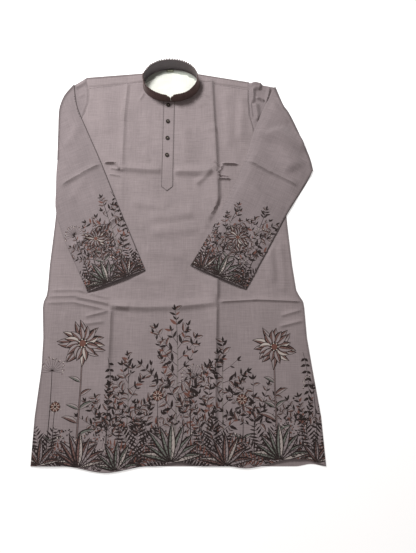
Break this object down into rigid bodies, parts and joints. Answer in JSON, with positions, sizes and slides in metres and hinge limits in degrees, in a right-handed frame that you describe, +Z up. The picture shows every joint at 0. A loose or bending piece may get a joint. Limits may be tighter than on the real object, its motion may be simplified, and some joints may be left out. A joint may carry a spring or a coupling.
{
  "type": "kurta tunic",
  "caption": "Long-sleeved kurta tunic with a notched stand collar and a buttoned placket, laid flat on its back with both sleeves folded in over the front.",
  "frame": {"origin": "middle of the garment's box, on the flat underside of the back panel, where it rests", "axes": "+Y from the hem towards the collar, +Z up away from the surface it lies on, +X to the right as seen from above, which is the wearer's left"},
  "size_m": [0.6886, 1.0598, 0.038],
  "materials": {
    "cloth": "matte plain weave with slubs, printed with a botanical border",
    "collar": "matte dark woven collar with a cord-like scalloped edge",
    "facing": "matte pale plain cloth",
    "label": "satin woven tape, bare",
    "button": "dark semi-gloss turned button"
  },
  "bodies": {
    "root": {"back_panel": "cloth", "front_panel": "cloth", "sleeve_left": "cloth", "sleeve_right": "cloth", "placket": "cloth", "collar_band": "collar", "neck_facing": "facing", "neck_label": "label", "button_1": "button", "button_2": "button", "button_3": "button", "button_4": "button"}
  },
  "joints": []
}
